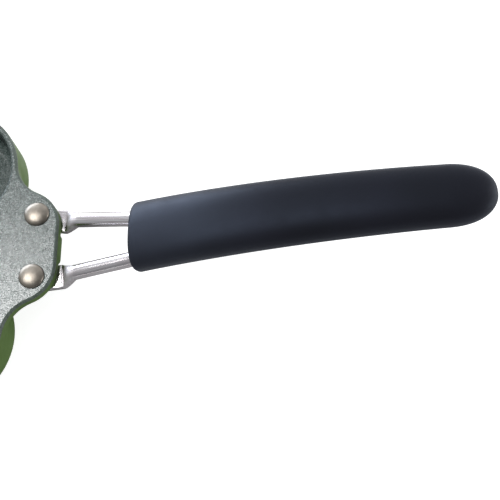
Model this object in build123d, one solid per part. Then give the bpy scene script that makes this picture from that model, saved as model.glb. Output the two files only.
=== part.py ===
from build123d import *
from math import atan, cos, degrees, pi, radians, sin, sqrt, tan
import os

# Seven-cup cast pan with a bent-rod handle and a soft oval grip, in millimetres.
# The pan stands on its cup bottoms at z = 0, centred on the middle cup, +Z up.
# The handle runs out along +X, and the whole pan is symmetric about the plane y = 0.

# Pan casting
PLATE_TOP = 21.0  # height of the flat top plate
WEB = 4.0  # plate thickness between the cups
EDGE_DEPTH = 4.8  # depth of the plate's outer lip and of the handle tab
LIP_WIDTH = 2.8
EDGE_ROUND = 1.3
CUPS_AROUND = 6
FIRST_CUP_ANGLE = 30.0  # degrees
CUP_PITCH = 72.0  # between the centres of neighbouring cups
LOBE_RADIUS = 30.9  # plate outline around a cup
SCALLOP_RADIUS = 12.0  # hollow between two lobes
CUP_RIM_RADIUS = 28.0
CUP_WALL_FOOT_RADIUS = 27.2  # inner wall where the floor round starts
CUP_FLOOR = 3.0  # floor thickness
CUP_INNER_ROUND = 5.0
CUP_OUTER_TOP_RADIUS = 30.9
CUP_OUTER_FOOT_RADIUS = 30.7
CUP_OUTER_ROUND = 3.5
RIM_ROUND = 1.4

# Handle tab, placed from the line through the two rivets
RIVET_X = 104.0
RIVET_HALF_SPACING = 14.0
TAB_REACH = 9.6  # tab front edge beyond the rivets
TAB_HALF_WIDTH = 25.7
TAB_CORNER = 16.4
TAB_SCALLOP = 16.5
TAB_BACK = 14.0  # thick part of the tab behind the rivets
BOSS_DEPTH = 8.8  # rib between the rod ends, below the plate's top
BOSS_HALF_FRONT = 7.1
BOSS_HALF_BACK = 8.2
BOSS_CORNER = 2.6
BOSS_FOOT_ROUND = 1.5

# Rivets
SHANK_RADIUS = 2.6
HOLE_PLAY = 0.05
HEAD_RADIUS = 5.4
HEAD_HEIGHT = 2.3
FORMED_RADIUS = 4.4
FORMED_HEIGHT = 1.8

# Handle rod, one round bar bent back on itself with its two ends pressed flat
ROD_RADIUS = 3.25
FLAT_HALF_WIDTH = 5.25
FLAT_THICKNESS = 3.0
FLAT_LENGTH = 12.0  # from the rivet to the neck
FLAT_EDGE_ROUND = 1.2
FLAT_SQUARENESS = 5.0  # exponent of the oval where the neck starts
NECK_LENGTH = 4.6  # from flat to fully round
NECK_START = 0.5  # the neck starts this far inside the flat
NECK_OVERLAP = 0.6  # of the neck and the round bar
ROD_HALF_SPACING = 6.5  # between rod and centre plane inside the grip
CONVERGED = 64.0  # beyond the rivets, where the two arms become parallel
ROD_SLOPE = 16.6  # degrees, of the bare rods
BEND_RADIUS = 60.0  # where the rods turn up into the grip
ARM_END_SLOPE = 26.0  # degrees, where a rod joins the arch
ARCH_STEPS = 4  # corners that the rod's arch is drawn from
ROUNDED_SHARE = 0.9  # of the arch radius, so that a short straight stays between corners
ROD_BELOW_CENTRE = 1.5  # rod centre line below the grip's centre line
U_BEND_AT = 119.6  # along the grip, from its mouth

# Grip, on one circular arch that levels out towards the tip
ARCH_RADIUS = 403.0
GRIP_START = (45.1, 7.4)  # mouth centre beyond the rivets and above the plate
GRIP_START_SLOPE = 26.76  # degrees
GRIP_LENGTH = 143.9
GRIP_HALF_WIDTH = (15.5, 12.0)  # at the mouth and at the tip
GRIP_HALF_THICKNESS = 7.6
GRIP_SIDE_ROUND = 6.9
TIP_RADIUS = 11.6
SLEEVE_WALL = 2.0
MOUTH_ROUND = 0.9
CORE_RECESS = 1.2  # core end face inside the mouth
FIT_GAP = 0.1  # rod to core and core to sleeve
CAVITY_OVERRUN = 5.0  # the sleeve's cavity is cut from this far outside its mouth

ARCH_CENTRE = (
    RIVET_X + GRIP_START[0] + ARCH_RADIUS * sin(radians(GRIP_START_SLOPE)),
    PLATE_TOP + GRIP_START[1] - ARCH_RADIUS * cos(radians(GRIP_START_SLOPE)),
)
FLAT_TOP = PLATE_TOP - EDGE_DEPTH
TOE_IN = atan((RIVET_HALF_SPACING - ROD_HALF_SPACING) / CONVERGED)
CUP_ANGLES = [radians(FIRST_CUP_ANGLE + 360 / CUPS_AROUND * i) for i in range(CUPS_AROUND)]
CUP_CENTRES = [(0.0, 0.0)] + [(CUP_PITCH * cos(a), CUP_PITCH * sin(a)) for a in CUP_ANGLES]
OVAL_POINTS = 24  # points that an oval is drawn through
TOUCH = 0.01  # two places this close count as one


def superellipse(half_width, half_height, exponent):
    """A closed smooth oval face in the XY plane."""
    outline = []
    for i in range(OVAL_POINTS):
        angle = 2 * pi * i / OVAL_POINTS
        c, s = cos(angle), sin(angle)
        x = half_width * abs(c) ** (2 / exponent) * (1 if c >= 0 else -1)
        y = half_height * abs(s) ** (2 / exponent) * (1 if s >= 0 else -1)
        outline.append((x, y))
    return make_face(Spline(*outline, periodic=True))


# ---- pan casting ----


def blend_centre(first, first_radius, second, second_radius, radius, side):
    """Centre of the circle of this radius outside and touching two others."""
    a, b = Vector(*first), Vector(*second)
    da, db = first_radius + radius, second_radius + radius
    along = (b - a).normalized()
    gap = (b - a).length
    t = (gap**2 + da**2 - db**2) / (2 * gap)
    across = Vector(-along.Y, along.X) * side
    return a + along * t + across * sqrt(da**2 - t**2)


def scallop(first, first_radius, second, second_radius, radius, side):
    """Metal to add between two rounds, and the hollow to take out of it again."""
    centre = blend_centre(first, first_radius, second, second_radius, radius, side)
    corners = [Vector(*first), centre, Vector(*second)]
    web = make_face(Polyline(*corners, close=True))
    hollow = Pos(centre.X, centre.Y) * Circle(radius)
    return web, hollow


def plate_outline():
    """Lobes round six cups, hollows between them, and the handle tab."""
    outer = CUP_CENTRES[1:]
    outline = make_face(Polyline(*outer, close=True))
    hollows = Sketch()
    for i, centre in enumerate(outer):
        outline += Pos(*centre) * Circle(LOBE_RADIUS)
        following = outer[(i + 1) % len(outer)]
        if i == len(outer) - 1:
            continue
        web, hollow = scallop(centre, LOBE_RADIUS, following, LOBE_RADIUS, SCALLOP_RADIUS, -1)
        outline += web
        hollows += hollow
    front = RIVET_X + TAB_REACH
    back = outer[0][0]
    tab = Pos((front + back) / 2, 0) * Rectangle(front - back, 2 * TAB_HALF_WIDTH)
    outline += fillet(tab.vertices().group_by(Axis.X)[-1], TAB_CORNER)
    for side in (1, -1):
        corner = (front - TAB_CORNER, side * (TAB_HALF_WIDTH - TAB_CORNER))
        lobe = (outer[0][0], side * abs(outer[0][1]))
        web, hollow = scallop(lobe, LOBE_RADIUS, corner, TAB_CORNER, TAB_SCALLOP, side)
        outline += web
        hollows += hollow
    return outline - hollows


def cup_form(bottom, foot_radius, top, top_radius, foot_round):
    """Slightly tapered round solid with a rounded foot, on the Z axis."""
    corners = [(0, bottom), (foot_radius, bottom), (top_radius, top), (0, top)]
    profile = make_face(Polyline(*corners, close=True))
    foot = profile.vertices().sort_by(Axis.Y)[:2].sort_by(Axis.X)[-1]
    return revolve(Plane.XZ * fillet(foot, foot_round), Axis.Z)


def tab_boss():
    """Rib under the tab, between the two rod ends."""
    front = RIVET_X + TAB_REACH
    back = RIVET_X - TAB_BACK
    half = [(back, BOSS_HALF_BACK), (front, BOSS_HALF_FRONT)]
    other_half = [(x, -y) for x, y in reversed(half)]
    face = make_face(Polyline(*half, *other_half, close=True))
    face = fillet(face.vertices().group_by(Axis.X)[-1], BOSS_CORNER)
    rib = extrude(Pos(0, 0, PLATE_TOP - BOSS_DEPTH) * face, BOSS_DEPTH - WEB / 2)
    return fillet(rib.faces().sort_by(Axis.Z)[0].edges(), BOSS_FOOT_ROUND)


def pan_body():
    outline = plate_outline()
    plate = extrude(Pos(0, 0, PLATE_TOP - WEB) * outline, WEB)
    inner = offset(outline, amount=-LIP_WIDTH)
    lip = extrude(Pos(0, 0, FLAT_TOP) * (outline - inner), EDGE_DEPTH)
    behind = RIVET_X - TAB_BACK
    tab_zone = Pos(behind + TAB_BACK, 0) * Rectangle(2 * TAB_BACK, 4 * TAB_HALF_WIDTH)
    tab = extrude(Pos(0, 0, FLAT_TOP) * (outline & tab_zone), EDGE_DEPTH)
    body = plate + lip + tab
    top_rim = body.faces().sort_by(Axis.Z)[-1].outer_wire().edges()
    body = fillet(top_rim, EDGE_ROUND)
    body += tab_boss()
    under_plate = PLATE_TOP - WEB / 2
    outside = cup_form(0, CUP_OUTER_FOOT_RADIUS, under_plate, CUP_OUTER_TOP_RADIUS, CUP_OUTER_ROUND)
    inside = cup_form(CUP_FLOOR, CUP_WALL_FOOT_RADIUS, PLATE_TOP, CUP_RIM_RADIUS, CUP_INNER_ROUND)
    for centre in CUP_CENTRES:
        body += Pos(*centre) * outside
    for centre in CUP_CENTRES:
        body -= Pos(*centre) * inside
    rims = body.edges().filter_by(GeomType.CIRCLE).filter_by(
        lambda e: abs(e.radius - CUP_RIM_RADIUS) < TOUCH and e.center().Z > PLATE_TOP - TOUCH
    )
    body = fillet(rims, RIM_ROUND)
    for side in (1, -1):
        hole = Cylinder(SHANK_RADIUS + HOLE_PLAY, 2 * PLATE_TOP)
        body -= Pos(RIVET_X, side * RIVET_HALF_SPACING, PLATE_TOP) * hole
    return body


# ---- rivets ----


def rivet(side):
    """Domed head on the plate, shank through plate and rod end, formed head below."""
    bottom = FLAT_TOP - FLAT_THICKNESS
    shank = Pos(0, 0, bottom) * Cylinder(
        SHANK_RADIUS, PLATE_TOP - bottom, align=(Align.CENTER, Align.CENTER, Align.MIN)
    )
    head = Pos(0, 0, PLATE_TOP) * dome(HEAD_RADIUS, HEAD_HEIGHT)
    formed = Pos(0, 0, bottom) * Rot(180, 0, 0) * dome(FORMED_RADIUS, FORMED_HEIGHT)
    return Pos(RIVET_X, side * RIVET_HALF_SPACING, 0) * (shank + head + formed)


def dome(radius, height):
    """Spherical cap standing on the XY plane."""
    ball = (radius**2 + height**2) / (2 * height)
    cap = Pos(0, 0, height - ball) * Sphere(ball)
    slab = Cylinder(radius + 1, height, align=(Align.CENTER, Align.CENTER, Align.MIN))
    return cap & slab


# ---- handle rod ----


def arch_point(radius, slope, y=0.0):
    """Point of the arch where its tangent rises by this many degrees."""
    a = radians(slope)
    return Vector(ARCH_CENTRE[0] - radius * sin(a), y, ARCH_CENTRE[1] + radius * cos(a))


def slope_along_grip(distance):
    """Degrees of rise at this distance from the grip's mouth."""
    return GRIP_START_SLOPE - degrees(distance / ARCH_RADIUS)


def arm_y(x):
    return max(ROD_HALF_SPACING, RIVET_HALF_SPACING - (x - RIVET_X) * tan(TOE_IN))


def arm_path():
    """Centre line of the arm on the +Y side, from its neck to the end bend."""
    radius = ARCH_RADIUS - ROD_BELOW_CENTRE
    joint = arch_point(radius, ARM_END_SLOPE)
    half_turn = radians(ARM_END_SLOPE - ROD_SLOPE) / 2
    reach = BEND_RADIUS * tan(half_turn)
    a, b = radians(ARM_END_SLOPE), radians(ROD_SLOPE)
    corner = joint - Vector(cos(a), 0, sin(a)) * reach
    neck_x = RIVET_X + FLAT_LENGTH + NECK_LENGTH
    neck = Vector(neck_x, arm_y(neck_x), corner.Z - (corner.X - neck_x) * tan(b))
    corner = Vector(corner.X, arm_y(corner.X), corner.Z)
    points, radii = [neck, corner], [BEND_RADIUS]
    end_slope = slope_along_grip(U_BEND_AT)
    step = (ARM_END_SLOPE - end_slope) / ARCH_STEPS
    outside = radius / cos(radians(step / 2))
    for i in range(ARCH_STEPS):
        slope = ARM_END_SLOPE - step * (i + 0.5)
        p = arch_point(outside, slope)
        points.append(Vector(p.X, arm_y(p.X), p.Z))
        at_an_end = i in (0, ARCH_STEPS - 1)
        radii.append(radius * ROUNDED_SHARE / (2 if at_an_end else 1))
    points.append(arch_point(radius, end_slope, ROD_HALF_SPACING))
    return FilletPolyline(*points, radius=radii)


def end_bend():
    """Half circle that joins the two arms inside the grip."""
    end, heading = arm_path() @ 1, arm_path() % 1
    nose = Vector(end.X, 0, end.Z) + heading * ROD_HALF_SPACING
    return ThreePointArc(end, nose, Vector(end.X, -end.Y, end.Z))


def round_bar(path, radius):
    return sweep(Plane(origin=path @ 0, z_dir=path % 0) * Circle(radius), path=path)


def bent_rod(radius):
    arm = round_bar(arm_path(), radius)
    return arm + round_bar(end_bend(), radius) + mirror(arm, Plane.XZ)


def pressed_end():
    """Flattened, pierced end of the arm on the +Y side, with its neck."""
    flat = Rectangle(FLAT_LENGTH, 2 * FLAT_HALF_WIDTH, align=(Align.MIN, Align.CENTER))
    flat = flat + Circle(FLAT_HALF_WIDTH)
    plate = extrude(flat, FLAT_THICKNESS)
    long_edges = plate.edges().filter_by(lambda e: abs(e.tangent_at(0).Z) < 0.5)
    long_edges = long_edges.filter_by(lambda e: e.center().X < FLAT_LENGTH - TOUCH)
    plate = fillet(long_edges, FLAT_EDGE_ROUND)
    plate -= Cylinder(SHANK_RADIUS + HOLE_PLAY, 4 * FLAT_THICKNESS)
    low = FLAT_TOP - FLAT_THICKNESS
    place = Pos(RIVET_X, RIVET_HALF_SPACING, low) * Rot(0, 0, -degrees(TOE_IN))
    arm = arm_path()
    along = Vector(cos(TOE_IN), -sin(TOE_IN), 0)
    middle = Vector(RIVET_X, RIVET_HALF_SPACING, low + FLAT_THICKNESS / 2)
    start = middle + along * (FLAT_LENGTH - NECK_START)
    across = Vector(sin(TOE_IN), cos(TOE_IN), 0)
    section = superellipse(FLAT_HALF_WIDTH, FLAT_THICKNESS / 2, FLAT_SQUARENESS)
    first = Plane(origin=start, x_dir=across, z_dir=along) * section
    overlap = arm @ 0 + (arm % 0) * NECK_OVERLAP
    last = Plane(origin=overlap, x_dir=across, z_dir=arm % 0) * Circle(ROD_RADIUS - FIT_GAP / 5)
    neck = loft([first.face(), last.face()])
    return place * plate + neck


def handle_rod():
    arm = round_bar(arm_path(), ROD_RADIUS) + pressed_end()
    return arm + round_bar(end_bend(), ROD_RADIUS) + mirror(arm, Plane.XZ)


# ---- grip ----


def arch_band(half_thickness, start_slope):
    """Curved slab along the arch, from its square-cut start to beyond the tip."""
    end_slope = slope_along_grip(GRIP_LENGTH + TIP_RADIUS)
    middle = (start_slope + end_slope) / 2
    arcs = []
    for radius in (ARCH_RADIUS + half_thickness, ARCH_RADIUS - half_thickness):
        arcs.append([arch_point(radius, slope) for slope in (start_slope, middle, end_slope)])
    top, bottom = arcs
    face = make_face(
        ThreePointArc(*top)
        + Line(top[2], bottom[2])
        + ThreePointArc(*reversed(bottom))
        + Line(bottom[0], top[0])
    )
    return extrude(face, 2 * GRIP_HALF_WIDTH[0], both=True)


def grip_plan(inset):
    """Outline from above: a slight taper and a round tip."""
    back = ARCH_CENTRE[0] - ARCH_RADIUS
    tip = arch_point(ARCH_RADIUS, slope_along_grip(GRIP_LENGTH)).X - inset
    mouth = RIVET_X + GRIP_START[0]
    taper = (GRIP_HALF_WIDTH[0] - GRIP_HALF_WIDTH[1]) / (tip - mouth)
    wide, narrow = (GRIP_HALF_WIDTH[0] + taper * (mouth - back) - inset, GRIP_HALF_WIDTH[1] - inset)
    face = make_face(Polyline((back, -wide), (tip, -narrow), (tip, narrow), (back, wide), close=True))
    return fillet(face.vertices().group_by(Axis.X)[-1], TIP_RADIUS - inset)


def grip_form(start, inset):
    """Solid grip shape shrunk by this inset, from start to its rounded tip."""
    band = arch_band(GRIP_HALF_THICKNESS - inset, slope_along_grip(start))
    form = band & extrude(grip_plan(inset), 2 * ARCH_RADIUS)
    mouth = form.faces().sort_by(Axis.X)[0]
    mouth_edges = mouth.edges()
    long_edges = form.edges().filter_by(lambda e: not touches(e, mouth_edges) and not upright(e))
    return fillet(long_edges, GRIP_SIDE_ROUND - inset)


def touches(edge, others):
    return any((edge.center() - other.center()).length < TOUCH for other in others)


def upright(edge):
    return abs(edge.tangent_at(0.5).Z) > 0.9


def grip_sleeve():
    outside = grip_form(0.0, 0.0)
    mouth = outside.faces().sort_by(Axis.X)[0].edges()
    outside = fillet(mouth, MOUTH_ROUND)
    return outside - grip_form(-CAVITY_OVERRUN, SLEEVE_WALL)


def grip_core():
    """Hard core moulded round both arms of the rod."""
    return grip_form(CORE_RECESS, SLEEVE_WALL + FIT_GAP) - bent_rod(ROD_RADIUS + FIT_GAP)


def main():
    os.makedirs("parts", exist_ok=True)
    nodes = {
        "pan_body": pan_body(),
        "handle_rod": handle_rod(),
        "rivet_left": rivet(1),
        "rivet_right": rivet(-1),
        "grip_core": grip_core(),
        "grip_sleeve": grip_sleeve(),
    }
    for name, shape in nodes.items():
        export_step(shape, f"parts/{name}.step")


main()
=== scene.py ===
"""Seven-cup cast pan with a bent-rod handle and a soft oval grip, in metres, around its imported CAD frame."""

from math import atan, cos, pi, radians, sin, sqrt, tan

import bmesh
import bpy
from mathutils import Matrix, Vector


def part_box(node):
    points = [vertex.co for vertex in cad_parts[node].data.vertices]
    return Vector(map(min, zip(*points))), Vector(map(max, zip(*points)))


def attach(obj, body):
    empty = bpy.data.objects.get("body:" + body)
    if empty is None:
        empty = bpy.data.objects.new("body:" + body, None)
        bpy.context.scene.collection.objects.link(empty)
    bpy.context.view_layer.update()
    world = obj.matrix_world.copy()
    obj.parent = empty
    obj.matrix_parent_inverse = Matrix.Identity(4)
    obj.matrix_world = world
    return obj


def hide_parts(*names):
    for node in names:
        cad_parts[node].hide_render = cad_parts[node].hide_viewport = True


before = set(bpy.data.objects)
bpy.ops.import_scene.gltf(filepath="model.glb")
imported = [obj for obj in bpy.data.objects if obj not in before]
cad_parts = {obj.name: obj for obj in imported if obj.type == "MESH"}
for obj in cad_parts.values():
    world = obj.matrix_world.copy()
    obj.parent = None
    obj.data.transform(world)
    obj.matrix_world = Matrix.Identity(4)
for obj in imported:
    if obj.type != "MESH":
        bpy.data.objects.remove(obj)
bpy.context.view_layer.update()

MM = 0.001

# ---- dimensions, close to the CAD model's, and settings ----

# Pan casting
PLATE_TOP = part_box("pan_body")[1].z
CUP_PITCH = 72 * MM
CUP_RIM_RADIUS = 28 * MM
CUP_RIM_ROUND = 1.4 * MM
CUP_FLOOR = 3 * MM
WALL_SHADE = 0.76  # how far painted shade darkens the coating's colour and gloss on a cup wall
WALL_SHADE_FROM = 1 * MM  # above the cup floor, where the painted shade starts
WALL_SHADE_FULL = 8 * MM  # above the cup floor, where it is complete
EDGE_DEPTH = 4.8 * MM
EDGE_ROUND = 1.3 * MM
NUDGE = 0.05 * MM  # keeps a face on a boundary to one side of it
LEVEL = 0.98  # upward part of the normal above which a rim face counts as plate
FACING_UP = 0.01  # and above which an edge face counts as facing up at all
WELD_DISTANCE = 1e-6
SHARP_ANGLE = radians(38)
FLAT_TOP = PLATE_TOP - EDGE_DEPTH
CUP_ANGLES = [radians(30 + 60 * i) for i in range(6)]
CUP_CENTRES = [(0.0, 0.0)] + [(CUP_PITCH * cos(a), CUP_PITCH * sin(a)) for a in CUP_ANGLES]

# Rivets
RIVET_LOW, RIVET_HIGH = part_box("rivet_left")
RIVET_X = (RIVET_LOW.x + RIVET_HIGH.x) / 2
RIVET_HALF_SPACING = (RIVET_LOW.y + RIVET_HIGH.y) / 2
HEAD_RADIUS = 5.4 * MM
HEAD_HEIGHT = 2.3 * MM
HEAD_RIM = 0.35 * MM
SHANK_RADIUS = 2.55 * MM
FORMED_RADIUS = 4.4 * MM
FORMED_HEIGHT = 1.8 * MM
FORMED_RIM = 0.3 * MM
SEAT = 0.01 * MM  # a head's seat stands this far off what it presses on, and twice as far at its rim
HEAD_TUCK = (0.995, 0.965)  # shares of the head's radius, below its rim and at its seat
FORMED_TUCK = 0.96  # share of the formed head's radius at its seat

# Handle rod
ROD_RADIUS = 3.25 * MM
ROD_HALF_SPACING = 6.5 * MM
ROD_SLOPE = radians(16.6)
ROD_BELOW_CENTRE = 1.5 * MM
ARM_END_SLOPE = radians(26.0)
BEND_RADIUS = 60 * MM
CONVERGED = 64 * MM  # beyond the rivets, where the two arms become parallel
U_BEND_AT = 119.6 * MM  # along the grip, from its mouth
TOE_IN = atan((RIVET_HALF_SPACING - ROD_HALF_SPACING) / CONVERGED)
FLAT_HALF_WIDTH = 5.25 * MM
FLAT_HALF_THICKNESS = 1.5 * MM
FLAT_LENGTH = 12.2 * MM
NECK_LENGTH = 4.6 * MM
NECK_DULL = 2 * MM  # the dull finish fades over this far either side of the neck's end
NECK_ROUGHER = 0.4
NECK_EASE = 0.4  # share of the neck's rise that starts and ends gently
NECK_NARROWING = 0.9  # exponent of its change of width
CREASE_FADE = (-0.3 * MM, 0.6 * MM)  # where the dull finish starts, either side of the crease
FLAT_STATIONS = (0.0, 0.33, 0.66, 0.87, 0.95, 0.985)  # shares of the flat, closer near the crease
END_OFFSET = 0.35  # keeps the first ring off the very end, as a share of one step
END_THICKNESS = 0.72  # share of the flat's thickness at the very end
THINNED_RINGS = 3
FLAT_OVAL = 7.0  # exponent of the pressed section
ROUND_OVAL = 2.0  # exponent of a circle

# Grip
ARCH_RADIUS = 403 * MM
GRIP_START = (45.1 * MM, 7.4 * MM)  # mouth centre beyond the rivets and above the plate
GRIP_START_SLOPE = radians(26.76)
GRIP_LENGTH = 143.85 * MM
GRIP_HALF_WIDTH = (15.2 * MM, 11.95 * MM)  # at the mouth and where the tip starts
GRIP_HALF_THICKNESS = 7.55 * MM
GRIP_OVAL = 2.45
TIP_LENGTH = 19 * MM
TIP_OVAL = 2.25
STRAIGHT_LENGTH = GRIP_LENGTH - TIP_LENGTH
MIDDLE_OF_GRIP_X = 210 * MM  # where the painted highlight, gloss raised near the mouth, has faded, going outwards
SLEEVE_WALL = 2 * MM
MOUTH_ROLL_LENGTH = 1.8 * MM
MOUTH_ROLL_DEPTH = 1.1 * MM
LIP_LENGTH = 0.5 * MM
CAVITY_STATIONS = (2.0, 8.0, 40.0, 80.0, 120.0)  # millimetres in from the mouth
ARCH_CENTRE = (
    RIVET_X + GRIP_START[0] + ARCH_RADIUS * sin(GRIP_START_SLOPE),
    PLATE_TOP + GRIP_START[1] - ARCH_RADIUS * cos(GRIP_START_SLOPE),
)

# Stage
FLOOR_GLOW = 0.84
FLOOR_HALF_SIZE = 12.0
FLOOR_DROP = 0.2 * MM  # keeps the floor clear of the pan's base
CARD_DROP = 0.1 * MM
HANDLE_TARGET = (0.2, 0.0, 0.04)
TAB_TARGET = (0.1, 0.0, 0.02)
BRIGHT_SIDE = (-0.62, 0.70, 0.35)  # direction in which the surroundings are brightest
DIMMEST_AT = -0.7  # cosine to that direction at which they are dimmest
SURROUNDINGS = (0.18, 0.78)  # dimmest and brightest
SENSOR_WIDTH = 36.0
LENS = 49.68
CAMERA_PLACE = (RIVET_X + 90.39 * MM, -98.89 * MM, PLATE_TOP + 278.65 * MM)
CAMERA_TURN = (radians(18.8), 0, radians(-1.08))


# ---- mesh helpers ----


def superellipse(half_width, half_height, exponent, count):
    """Points round an oval, in its own plane."""
    points = []
    for i in range(count):
        angle = 2 * pi * i / count
        c, s = cos(angle), sin(angle)
        x = half_width * abs(c) ** (2 / exponent) * (1 if c >= 0 else -1)
        y = half_height * abs(s) ** (2 / exponent) * (1 if s >= 0 else -1)
        points.append((x, y))
    return points


def new_object(name, bm):
    """Smooth-shaded object in the scene, with its faces turned outwards."""
    mesh = bpy.data.meshes.new(name)
    bmesh.ops.recalc_face_normals(bm, faces=bm.faces)
    bm.to_mesh(mesh)
    bm.free()
    for polygon in mesh.polygons:
        polygon.use_smooth = True
    obj = bpy.data.objects.new(name, mesh)
    bpy.context.scene.collection.objects.link(obj)
    return obj


def skin_rings(bm, rings, close_start=True, close_end=True):
    """Quads between rings of the same length, with a fan at each closed end.

    Each point keeps its place along and round the piece in the attribute "unrolled".
    """
    unrolled = bm.verts.layers.float_vector.new("unrolled")
    loops = [[bm.verts.new(p) for p in ring] for ring in rings]
    middles = [sum((v.co for v in loop), Vector()) / len(loop) for loop in loops]
    length = 0.0
    for k, loop in enumerate(loops):
        length += (middles[k] - middles[k - 1]).length if k else 0.0
        girth = (loop[0].co - middles[k]).length
        for i, vert in enumerate(loop):
            angle = 2 * pi * i / len(loop)
            vert[unrolled] = (length, girth * cos(angle), girth * sin(angle))
    for a, b in zip(loops, loops[1:]):
        for i in range(len(a)):
            j = (i + 1) % len(a)
            bm.faces.new((a[i], a[j], b[j], b[i]))
    for loop, wanted in ((loops[0], close_start), (loops[-1], close_end)):
        if wanted:
            fan(bm, loop, sum((v.co for v in loop), Vector()) / len(loop))
    return loops


def fan(bm, loop, tip):
    """Triangles from a ring to one point."""
    middle = bm.verts.new(tip)
    for i in range(len(loop)):
        bm.faces.new((loop[i], loop[(i + 1) % len(loop)], middle))


def circle(centre, radius, height, count):
    """Points round the upright axis through a centre."""
    turns = [2 * pi * i / count for i in range(count)]
    return [centre + Vector((radius * cos(a), radius * sin(a), height)) for a in turns]


def lathe(name, profile, centre):
    """Closed round piece from a profile of (radius, height) that starts and ends on its axis."""
    count = 96
    bm = bmesh.new()
    rings = [circle(centre, radius, height, count) for radius, height in profile[1:-1]]
    loops = skin_rings(bm, rings, close_start=False, close_end=False)
    for loop, (_, height) in ((loops[0], profile[0]), (loops[-1], profile[-1])):
        fan(bm, loop, centre + Vector((0, 0, height)))
    return new_object(name, bm)


# ---- node material helpers ----


class Nodes:
    """A small builder for one material's node tree."""

    def __init__(self, name):
        self.material = bpy.data.materials.new(name)
        self.material.use_nodes = True
        self.tree = self.material.node_tree
        self.shader = self.tree.nodes["Principled BSDF"]
        self.object_space = self.add("ShaderNodeTexCoord").outputs["Object"]

    def add(self, kind, **settings):
        node = self.tree.nodes.new(kind)
        for key, value in settings.items():
            setattr(node, key, value)
        return node

    def link(self, source, target):
        self.tree.links.new(source, target)

    def set(self, name, value):
        """Same value all over the surface."""
        self.shader.inputs[name].default_value = value

    def drive(self, name, source):
        """Value that varies over the surface."""
        self.link(source, self.shader.inputs[name])

    def noise(self, per_mm, detail=2.0, roughness=0.5, stretch=(1, 1, 1), vector=None):
        """Noise with this many features per millimetre."""
        mapping = self.add("ShaderNodeMapping")
        mapping.inputs["Scale"].default_value = [s * per_mm / MM for s in stretch]
        self.link(vector or self.object_space, mapping.inputs["Vector"])
        texture = self.add("ShaderNodeTexNoise")
        texture.inputs["Scale"].default_value = 1.0
        texture.inputs["Detail"].default_value = detail
        texture.inputs["Roughness"].default_value = roughness
        self.link(mapping.outputs["Vector"], texture.inputs["Vector"])
        return texture.outputs["Fac"]

    def cells(self, per_mm):
        """One random value for each grain, this many to the millimetre."""
        mapping = self.add("ShaderNodeMapping")
        mapping.inputs["Scale"].default_value = [per_mm / MM] * 3
        self.link(self.object_space, mapping.inputs["Vector"])
        texture = self.add("ShaderNodeTexVoronoi")
        texture.inputs["Scale"].default_value = 1.0
        self.link(mapping.outputs["Vector"], texture.inputs["Vector"])
        return texture.outputs["Color"]

    def along(self, axis, start, end):
        """Rises smoothly from 0 at one place along an axis to 1 at another."""
        split = self.add("ShaderNodeSeparateXYZ")
        self.link(self.object_space, split.inputs[0])
        node = self.add("ShaderNodeMapRange", interpolation_type="SMOOTHSTEP")
        node.inputs["From Min"].default_value = start
        node.inputs["From Max"].default_value = end
        self.link(split.outputs[axis], node.inputs["Value"])
        return node.outputs["Result"]

    def ramp(self, value, stops):
        """Colour ramp from a list of (position, grey or colour)."""
        node = self.add("ShaderNodeValToRGB")
        elements = node.color_ramp.elements
        while len(elements) < len(stops):
            elements.new(0.5)
        for element, (position, colour) in zip(elements, stops):
            element.position = position
            element.color = (colour,) * 3 + (1,) if isinstance(colour, float) else (*colour, 1)
        self.link(value, node.inputs["Fac"])
        return node.outputs["Color"]

    def math(self, operation, a, b):
        """Sum or product of two values or sockets."""
        node = self.add("ShaderNodeMath", operation=operation)
        for socket, value in zip(node.inputs, (a, b)):
            if isinstance(value, (int, float)):
                socket.default_value = value
            else:
                self.link(value, socket)
        return node.outputs["Value"]

    def mix(self, factor, a, b):
        """Colour part of the way from a to b."""
        node = self.add("ShaderNodeMix", data_type="RGBA")
        for socket, value in ((node.inputs[0], factor), (node.inputs[6], a), (node.inputs[7], b)):
            if isinstance(value, (int, float)):
                socket.default_value = value
            elif isinstance(value, tuple):
                socket.default_value = (*value, 1)
            else:
                self.link(value, socket)
        return node.outputs[2]

    def bump(self, height, depth_mm, below=None):
        """Fine relief of this depth, on top of any coarser relief below it."""
        node = self.add("ShaderNodeBump")
        node.inputs["Strength"].default_value = 1.0
        node.inputs["Distance"].default_value = depth_mm * MM
        self.link(height, node.inputs["Height"])
        if below is not None:
            self.link(below, node.inputs["Normal"])
        return node.outputs["Normal"]


def srgb(red, green, blue):
    """Linear colour of an eight-bit display colour."""
    return tuple(
        c / 12.92 if c <= 0.04045 else ((c + 0.055) / 1.055) ** 2.4
        for c in (red / 255, green / 255, blue / 255)
    )


# ---- materials ----


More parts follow.
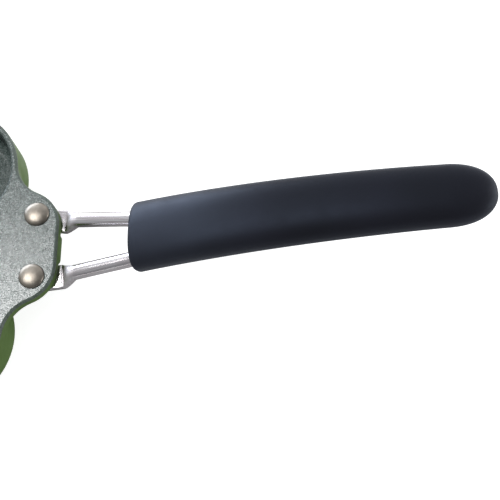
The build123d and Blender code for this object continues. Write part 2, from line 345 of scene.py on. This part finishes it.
def stone_coating(name, greys, gloss):
    """Speckled non-stick coating: darkest, middle and palest grains, and its strongest reflection."""
    n = Nodes(name)
    grain = n.ramp(n.cells(2.2), [(0.0, 0.0), (1.0, 1.0)])
    shades = [srgb(grey - 7, grey + 3, grey) for grey in greys]
    base = n.ramp(grain, [(0.0, shades[0]), (0.5, shades[1]), (1.0, shades[2])])
    pale = n.ramp(n.cells(1.3), [(0.80, 0.0), (0.86, 1.0)])
    base = n.mix(n.math("MULTIPLY", pale, 0.5), base, shades[2])
    dark = n.ramp(n.noise(1.1, 3.0, 0.6), [(0.58, 0.0), (0.66, 1.0)])
    base = n.mix(n.math("MULTIPLY", dark, 0.5), base, shades[0])
    # Painted shade: on the cup walls, from just above the floor to just below the rim, the coating's colour is
    # pulled towards near-black and its gloss lowered.
    up_wall = n.along("Z", CUP_FLOOR + WALL_SHADE_FROM, CUP_FLOOR + WALL_SHADE_FULL)
    below_rim = n.along("Z", PLATE_TOP, PLATE_TOP - CUP_RIM_ROUND)
    painted_shade = n.math("MULTIPLY", n.math("MULTIPLY", up_wall, below_rim), WALL_SHADE)
    n.drive("Base Color", n.mix(painted_shade, base, srgb(25, 28, 30)))
    n.drive("Roughness", n.ramp(grain, [(0.0, 0.2), (1.0, 0.31)]))
    sparkle = n.ramp(n.cells(2.25), [(0.15, 0.3 * gloss), (0.85, gloss)])
    n.drive("Specular IOR Level", n.mix(painted_shade, sparkle, (0.05, 0.05, 0.05)))
    pits = n.bump(n.noise(1.8, 2.0), 0.08)
    n.drive("Normal", n.bump(n.noise(0.35, 1.0), 0.03, below=pits))
    return n.material


def edge_coating():
    """The same coating, darker and greener on the plate's rounded edge."""
    n = Nodes("edge_coating")
    grain = n.ramp(n.cells(2.4), [(0.0, srgb(48, 57, 51)), (1.0, srgb(84, 95, 87))])
    n.drive("Base Color", grain)
    n.drive("Roughness", n.ramp(n.noise(1.0), [(0.3, 0.38), (0.7, 0.55)]))
    n.drive("Normal", n.bump(n.noise(2.0), 0.03))
    return n.material


def green_enamel():
    """Olive-green sprayed outside, slightly uneven, with a soft gloss."""
    n = Nodes("green_enamel")
    shade = n.ramp(
        n.noise(0.04, 2.0),
        [(0.3, srgb(70, 91, 47)), (0.5, srgb(77, 98, 54)), (0.7, srgb(84, 103, 61))],
    )
    fleck = n.ramp(n.noise(2.4, 2.0), [(0.62, 0.0), (0.7, 1.0)])
    colour = n.mix(n.math("MULTIPLY", fleck, 0.25), shade, srgb(70, 92, 52))
    n.drive("Base Color", colour)
    n.drive("Roughness", n.ramp(n.noise(0.3, 3.0), [(0.3, 0.42), (0.7, 0.52)]))
    n.set("Specular IOR Level", 0.06)
    peel = n.bump(n.noise(0.9, 2.0), 0.02)
    n.drive("Normal", n.bump(n.noise(0.08, 1.0), 0.06, below=peel))
    return n.material


def bright_rod():
    """Bright plated bar with drawn lines along it, duller on the neck beyond its pressed end."""
    n = Nodes("bright_rod")
    unrolled = n.add("ShaderNodeAttribute", attribute_name="unrolled").outputs["Vector"]
    lines = n.noise(1.0, 2.0, stretch=(0.05, 1.6, 1.6), vector=unrolled)
    tint = n.ramp(
        lines,
        [(0.35, srgb(210, 208, 211)), (0.5, srgb(196, 188, 191)), (0.65, srgb(217, 215, 217))],
    )
    n.drive("Base Color", tint)
    n.set("Metallic", 1.0)
    crease = RIVET_X + FLAT_LENGTH
    neck_end = crease + NECK_LENGTH
    rising = n.along("X", crease + CREASE_FADE[0], crease + CREASE_FADE[1])
    on_neck = n.math("MULTIPLY", rising, n.along("X", neck_end + NECK_DULL, neck_end - NECK_DULL))
    polish = n.ramp(lines, [(0.3, 0.12), (0.7, 0.2)])
    n.drive("Roughness", n.math("ADD", polish, n.math("MULTIPLY", on_neck, NECK_ROUGHER)))
    wear = n.bump(lines, 0.0014)
    n.drive("Normal", n.bump(n.noise(0.3, 2.0), 0.003, below=wear))
    return n.material


def satin_rivet():
    """Satin metal with a warm grey tone and faint peened marks."""
    n = Nodes("satin_rivet")
    tone = n.ramp(n.noise(0.5, 3.0), [(0.3, srgb(124, 117, 108)), (0.7, srgb(140, 133, 124))])
    n.drive("Base Color", tone)
    n.set("Metallic", 1.0)
    n.drive("Roughness", n.ramp(n.noise(1.6, 2.0), [(0.3, 0.34), (0.7, 0.4)]))
    fine = n.bump(n.noise(3.0, 2.0), 0.003)
    n.drive("Normal", n.bump(n.noise(0.35, 1.0), 0.06, below=fine))
    return n.material


def soft_grip():
    """Blue-black soft-touch rubber with a very fine matte grain."""
    n = Nodes("soft_grip")
    tone = n.ramp(n.noise(0.03, 2.0), [(0.3, srgb(22, 22, 26)), (0.7, srgb(26, 26, 32))])
    dust = n.ramp(n.noise(1.2, 4.0, 0.7), [(0.60, 0.0), (0.75, 1.0)])
    n.drive("Base Color", n.mix(n.math("MULTIPLY", dust, 0.06), tone, srgb(60, 64, 72)))
    n.drive("Roughness", n.ramp(n.noise(0.2, 3.0), [(0.3, 0.42), (0.7, 0.48)]))
    # Painted highlight: the gloss is raised near the mouth and fades towards the middle of the grip.
    outwards = n.along("X", RIVET_X + GRIP_START[0], MIDDLE_OF_GRIP_X)
    n.drive("Specular IOR Level", n.ramp(outwards, [(0.3, 0.29), (1.0, 0.1)]))
    # Painted bluish reflection: the grip's reflection and sheen are tinted blue.
    n.set("Specular Tint", (0.56, 0.7, 1.0, 1.0))
    n.set("Sheen Weight", 0.08)
    n.set("Sheen Roughness", 0.45)
    n.set("Sheen Tint", (0.62, 0.74, 1.0, 1.0))
    grain = n.bump(n.noise(4.0, 2.0), 0.02)
    n.drive("Normal", n.bump(n.noise(0.06, 1.0), 0.02, below=grain))
    return n.material


def core_plastic():
    """Plain black moulded plastic, seen only inside the grip's mouth."""
    n = Nodes("core_plastic")
    n.drive("Base Color", n.ramp(n.noise(0.6, 3.0), [(0.3, srgb(24, 25, 27)), (0.7, srgb(34, 35, 38))]))
    n.drive("Roughness", n.ramp(n.noise(1.0), [(0.3, 0.45), (0.7, 0.6)]))
    n.drive("Normal", n.bump(n.noise(2.0), 0.02))
    return n.material


# ---- pan casting ----

PLATE, EDGE, OUTSIDE, CUP = range(4)


def pan_casting():
    """The casting's own surface, with its plate, edge, outside and cup finishes."""
    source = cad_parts["pan_body"]
    bm = bmesh.new()
    bm.from_mesh(source.data)
    bmesh.ops.remove_doubles(bm, verts=bm.verts, dist=WELD_DISTANCE)
    for face in bm.faces:
        face.material_index = casting_finish(face.calc_center_median(), face.normal)
        face.smooth = True
    obj = new_object("pan_casting", bm)
    obj.data.set_sharp_from_angle(angle=SHARP_ANGLE)
    weighted = obj.modifiers.new("weighted", "WEIGHTED_NORMAL")
    weighted.keep_sharp = True
    finishes = (
        stone_coating("plate_coating", (42, 78, 126), 1.35),
        edge_coating(),
        green_enamel(),
        # Painted shade: the cups get a darker, far less glossy copy of the plate's coating, for the shade
        # inside the deep cups.
        stone_coating("cup_coating", (48, 76, 108), 0.4),
    )
    for material in finishes:
        obj.data.materials.append(material)
    return obj


def casting_finish(point, normal):
    """Index of the finish: plate, rounded plate edge, green outside, or inside of a cup."""
    away = min(sqrt((point.x - x) ** 2 + (point.y - y) ** 2) for x, y in CUP_CENTRES)
    if away < CUP_RIM_RADIUS + CUP_RIM_ROUND and point.z > CUP_FLOOR - NUDGE:
        level = point.z > PLATE_TOP - CUP_RIM_ROUND and normal.z > LEVEL
        return PLATE if level else CUP
    if point.z > PLATE_TOP - NUDGE:
        return PLATE
    if point.z > PLATE_TOP - EDGE_ROUND - NUDGE and normal.z > FACING_UP:
        return EDGE
    return OUTSIDE


# ---- handle ----


def arch_point(radius, slope):
    """Point in the centre plane at this radius from the arch's centre, where it rises at this slope."""
    return Vector((ARCH_CENTRE[0] - radius * sin(slope), 0, ARCH_CENTRE[1] + radius * cos(slope)))


def arm_y(x):
    """Distance of an arm from the centre plane: drawing in, then parallel."""
    return max(ROD_HALF_SPACING, RIVET_HALF_SPACING - (x - RIVET_X) * tan(TOE_IN))


def arm_line():
    """Centre points of the round part of one arm: straight, turning up, then along the arch."""
    radius = ARCH_RADIUS - ROD_BELOW_CENTRE
    joint = arch_point(radius, ARM_END_SLOPE)
    reach = BEND_RADIUS * tan((ARM_END_SLOPE - ROD_SLOPE) / 2)
    corner = joint - Vector((cos(ARM_END_SLOPE), 0, sin(ARM_END_SLOPE))) * reach
    start_x = RIVET_X + FLAT_LENGTH + NECK_LENGTH
    bend_start = corner - Vector((cos(ROD_SLOPE), 0, sin(ROD_SLOPE))) * reach
    bend_centre = bend_start + Vector((-sin(ROD_SLOPE), 0, cos(ROD_SLOPE))) * BEND_RADIUS
    points = []
    straight_steps = 10
    for i in range(straight_steps):
        x = start_x + (bend_start.x - start_x) * i / straight_steps
        points.append(Vector((x, 0, bend_start.z - (bend_start.x - x) * tan(ROD_SLOPE))))
    bend_steps = 8
    for i in range(bend_steps):
        slope = ROD_SLOPE + (ARM_END_SLOPE - ROD_SLOPE) * i / bend_steps
        points.append(bend_centre + Vector((sin(slope), 0, -cos(slope))) * BEND_RADIUS)
    end_slope = GRIP_START_SLOPE - U_BEND_AT / ARCH_RADIUS
    arch_steps = 40
    for i in range(arch_steps + 1):
        points.append(arch_point(radius, ARM_END_SLOPE + (end_slope - ARM_END_SLOPE) * i / arch_steps))
    for p in points:
        p.y = arm_y(p.x)
    return points


def arm_stations():
    """(centre, half width, half height, oval exponent) from the pressed end to the end bend."""
    flat_z = FLAT_TOP - FLAT_HALF_THICKNESS
    axis = Vector((cos(TOE_IN), -sin(TOE_IN), 0))
    origin = Vector((RIVET_X, RIVET_HALF_SPACING, flat_z))
    stations = []
    end_steps = 8
    for i in range(end_steps):
        angle = pi / 2 * (1 - (i + END_OFFSET) / end_steps)
        thinning = min(1.0, END_THICKNESS + (1 - END_THICKNESS) * (i + 1) / THINNED_RINGS)
        centre = origin - axis * FLAT_HALF_WIDTH * sin(angle)
        stations.append((centre, FLAT_HALF_WIDTH * cos(angle), FLAT_HALF_THICKNESS * thinning, FLAT_OVAL))
    for share in FLAT_STATIONS:
        centre = origin + axis * share * FLAT_LENGTH
        stations.append((centre, FLAT_HALF_WIDTH, FLAT_HALF_THICKNESS, FLAT_OVAL))
    line = arm_line()
    neck_start = origin + axis * FLAT_LENGTH
    neck_steps = 12
    for i in range(1, neck_steps):
        t = i / neck_steps
        eased = t * t * (3 - 2 * t)
        centre = neck_start.lerp(line[0], t)
        centre.z = flat_z + (line[0].z - flat_z) * ((1 - NECK_EASE) * t + NECK_EASE * eased)
        width = FLAT_HALF_WIDTH + (ROD_RADIUS - FLAT_HALF_WIDTH) * t**NECK_NARROWING
        height = FLAT_HALF_THICKNESS + (ROD_RADIUS - FLAT_HALF_THICKNESS) * t
        stations.append((centre, width, height, FLAT_OVAL + (ROUND_OVAL - FLAT_OVAL) * sqrt(t)))
    return stations + [(p, ROD_RADIUS, ROD_RADIUS, ROUND_OVAL) for p in line]


def end_bend(end, heading):
    """Stations round the half circle that joins the two arms inside the grip."""
    stations = []
    steps = 16
    for i in range(1, steps):
        a = pi * i / steps
        centre = Vector((end.x, end.y * cos(a), end.z)) + heading * end.y * sin(a)
        stations.append((centre, ROD_RADIUS, ROD_RADIUS, ROUND_OVAL))
    return stations


def bent_rod():
    """One bar, bent back on itself inside the grip, with both ends pressed flat."""
    left = arm_stations()
    right = [(Vector((p.x, -p.y, p.z)), w, h, n) for p, w, h, n in reversed(left)]
    end = left[-1][0]
    heading = (end - left[-2][0]).normalized()
    stations = left + end_bend(end, heading) + right
    centres = [station[0] for station in stations]
    count = 48
    rings = []
    for i, (centre, width, height, exponent) in enumerate(stations):
        along = centres[min(i + 1, len(centres) - 1)] - centres[max(i - 1, 0)]
        side = Vector((0, 0, 1)).cross(along).normalized()
        up = along.normalized().cross(side)
        oval = superellipse(width, height, exponent, count)
        rings.append([centre + side * x + up * y for x, y in oval])
    bm = bmesh.new()
    skin_rings(bm, rings)
    obj = new_object("bent_rod", bm)
    obj.data.materials.append(bright_rod())
    return obj


def dome(radius, base, height, steps):
    """Profile points of a domed head, from near its top out to its rim. A negative height hangs down."""
    turns = [pi / 2 * i / steps for i in range(1, steps + 1)]
    return [(radius * sin(a), base + height * cos(a)) for a in turns]


def rivet(name, side):
    """Domed head on the plate, shank, and a smaller formed head under the rod's end."""
    steps = 14
    bottom = FLAT_TOP - 2 * FLAT_HALF_THICKNESS
    profile = [(0, PLATE_TOP + HEAD_HEIGHT)]
    profile += dome(HEAD_RADIUS, PLATE_TOP + HEAD_RIM, HEAD_HEIGHT - HEAD_RIM, steps)
    profile.append((HEAD_TUCK[0] * HEAD_RADIUS, PLATE_TOP + 0.4 * HEAD_RIM))
    profile.append((HEAD_TUCK[1] * HEAD_RADIUS, PLATE_TOP + 2 * SEAT))
    profile.append((SHANK_RADIUS, PLATE_TOP + SEAT))
    profile.append((SHANK_RADIUS, bottom - SEAT))
    profile.append((FORMED_TUCK * FORMED_RADIUS, bottom - 2 * SEAT))
    profile += reversed(dome(FORMED_RADIUS, bottom - FORMED_RIM, FORMED_RIM - FORMED_HEIGHT, steps))
    profile.append((0, bottom - FORMED_HEIGHT))
    obj = lathe(name, profile, Vector((RIVET_X, side * RIVET_HALF_SPACING, 0)))
    obj.data.materials.append(satin_rivet())
    return obj


def grip_ring(distance, inset, count):
    """Oval ring across the arch at this distance from the grip's mouth."""
    share = min(1.0, distance / STRAIGHT_LENGTH)
    into_tip = min(1.0, max(0.0, (distance - STRAIGHT_LENGTH) / (TIP_LENGTH - inset)))
    shrink = (1 - into_tip**TIP_OVAL) ** (1 / TIP_OVAL)
    width = (GRIP_HALF_WIDTH[0] + share * (GRIP_HALF_WIDTH[1] - GRIP_HALF_WIDTH[0]) - inset) * shrink
    height = (GRIP_HALF_THICKNESS - inset) * shrink
    slope = GRIP_START_SLOPE - distance / ARCH_RADIUS
    centre = arch_point(ARCH_RADIUS, slope)
    up = Vector((-sin(slope), 0, cos(slope)))
    return [
        centre + Vector((0, x, 0)) + up * y
        for x, y in superellipse(width, height, GRIP_OVAL, count)
    ]


def soft_sleeve():
    """The grip's skin: outside from tip to mouth, over the rolled mouth, and back along the inside."""
    count = 96
    rings = []
    tip_steps = 26
    for i in range(tip_steps - 1, 0, -1):
        distance = STRAIGHT_LENGTH + TIP_LENGTH * sin(pi / 2 * i / tip_steps)
        rings.append(grip_ring(distance, 0, count))
    straight_steps = 60
    for i in range(straight_steps + 1):
        distance = STRAIGHT_LENGTH + (MOUTH_ROLL_LENGTH - STRAIGHT_LENGTH) * i / straight_steps
        rings.append(grip_ring(distance, 0, count))
    roll_steps = 8
    for i in range(1, roll_steps + 1):
        a = pi / 2 * i / roll_steps
        rings.append(grip_ring(MOUTH_ROLL_LENGTH * (1 - sin(a)), MOUTH_ROLL_DEPTH * (1 - cos(a)), count))
    lip_steps = 5
    for i in range(1, lip_steps + 1):
        a = pi / 2 * i / lip_steps
        inset = MOUTH_ROLL_DEPTH + (SLEEVE_WALL - MOUTH_ROLL_DEPTH) * sin(a)
        rings.append(grip_ring(LIP_LENGTH * (1 - cos(a)), inset, count))
    for distance in CAVITY_STATIONS:
        rings.append(grip_ring(distance * MM, SLEEVE_WALL, count))
    bm = bmesh.new()
    skin_rings(bm, rings)
    obj = new_object("soft_sleeve", bm)
    obj.data.materials.append(soft_grip())
    return obj


# ---- stage ----


def stage_floor():
    """Plain pale floor that glows enough to read as a white background."""
    bm = bmesh.new()
    bmesh.ops.create_grid(bm, x_segments=8, y_segments=8, size=FLOOR_HALF_SIZE)
    obj = new_object("floor", bm)
    obj.location.z = -FLOOR_DROP
    n = Nodes("floor_paper")
    n.drive("Base Color", n.ramp(n.noise(0.002, 2.0), [(0.3, 0.49), (0.7, 0.51)]))
    n.set("Roughness", 0.9)
    n.set("Specular IOR Level", 0.1)
    n.set("Emission Color", (1, 1, 1, 1))
    n.set("Emission Strength", FLOOR_GLOW)
    obj.data.materials.append(n.material)


def grey_card(name, low, high):
    """A grey card just over the floor, for glossy surfaces to mirror, unseen otherwise."""
    bm = bmesh.new()
    corners = [(low[0], low[1]), (high[0], low[1]), (high[0], high[1]), (low[0], high[1])]
    bm.faces.new([bm.verts.new((x, y, -CARD_DROP)) for x, y in corners])
    obj = new_object(name, bm)
    n = Nodes(name)
    n.drive("Base Color", n.ramp(n.noise(0.01), [(0.3, 0.32), (0.7, 0.4)]))
    n.set("Roughness", 1.0)
    obj.data.materials.append(n.material)
    obj.visible_camera = False
    obj.visible_diffuse = False
    obj.visible_shadow = False


def soft_light(name, position, target, size, radiance, colour=(1, 1, 1)):
    """Rectangular light facing its target, with a brightness that doesn't change with its size."""
    light = bpy.data.lights.new(name, "AREA")
    light.shape = "RECTANGLE"
    light.size, light.size_y = size
    light.energy = radiance * pi * size[0] * size[1]
    light.color = colour
    obj = bpy.data.objects.new(name, light)
    obj.location = position
    direction = Vector(target) - Vector(position)
    obj.rotation_euler = direction.to_track_quat("-Z", "Y").to_euler()
    bpy.context.scene.collection.objects.link(obj)
    return obj


def stage_world():
    """Soft grey surroundings, brighter on one side."""
    world = bpy.data.worlds.new("studio")
    world.use_nodes = True
    tree = world.node_tree
    direction = tree.nodes.new("ShaderNodeTexCoord").outputs["Generated"]
    towards = tree.nodes.new("ShaderNodeVectorMath")
    towards.operation = "DOT_PRODUCT"
    towards.inputs[1].default_value = Vector(BRIGHT_SIDE).normalized()
    tree.links.new(direction, towards.inputs[0])
    ramp = tree.nodes.new("ShaderNodeMapRange")
    ramp.inputs["From Min"].default_value = DIMMEST_AT
    ramp.inputs["From Max"].default_value = 1.0
    ramp.inputs["To Min"].default_value = SURROUNDINGS[0]
    ramp.inputs["To Max"].default_value = SURROUNDINGS[1]
    tree.links.new(towards.outputs["Value"], ramp.inputs["Value"])
    background = tree.nodes["Background"]
    background.inputs["Color"].default_value = (0.95, 0.98, 1.0, 1)
    tree.links.new(ramp.outputs["Result"], background.inputs["Strength"])
    bpy.context.scene.world = world


def stage_camera():
    """Looking down at the handle at the reference angle."""
    data = bpy.data.cameras.new("camera")
    data.sensor_width = SENSOR_WIDTH
    data.lens = LENS
    data.clip_start = 0.01
    camera = bpy.data.objects.new("camera", data)
    camera.location = CAMERA_PLACE
    camera.rotation_euler = CAMERA_TURN
    bpy.context.scene.collection.objects.link(camera)
    bpy.context.scene.camera = camera


# ---- assembly ----


def stand_in(piece, node):
    """Puts a piece on the pan's one body in place of its CAD node."""
    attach(piece, "root")
    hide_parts(node)


def stage_lights():
    """Overhead key, a sheet behind the handle, a card at its end and a strip for highlights only."""
    soft_light("key", (-0.276, 0.066, 0.95), TAB_TARGET, (0.45, 0.45), 11.0)
    soft_light("back_sheet", (0.15, 0.9, 0.5), HANDLE_TARGET, (2.0, 0.9), 0.9, (0.95, 0.97, 1.0))
    soft_light("right_card", (1.0, 0.0, 0.2), TAB_TARGET, (0.8, 0.3), 5.0)
    strip = soft_light(
        "low_strip", (-0.42, 0.68, 0.2), HANDLE_TARGET, (0.8, 0.36), 8.0, (0.78, 0.87, 1.0)
    )
    strip.visible_diffuse = False


def main():
    """Builds every piece and the stage."""
    stand_in(pan_casting(), "pan_body")
    stand_in(bent_rod(), "handle_rod")
    stand_in(rivet("rivet_head_left", 1), "rivet_left")
    stand_in(rivet("rivet_head_right", -1), "rivet_right")
    stand_in(soft_sleeve(), "grip_sleeve")
    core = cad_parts["grip_core"]
    core.data.materials.clear()
    core.data.materials.append(core_plastic())
    stage_floor()
    grey_card("grey_card", (-0.2, -0.3), (0.4, 0.02))
    grey_card("rod_card", (0.108, 0.02), (0.4, 0.065))
    stage_lights()
    stage_world()
    stage_camera()
    bpy.context.scene.view_settings.view_transform = "Standard"


main()
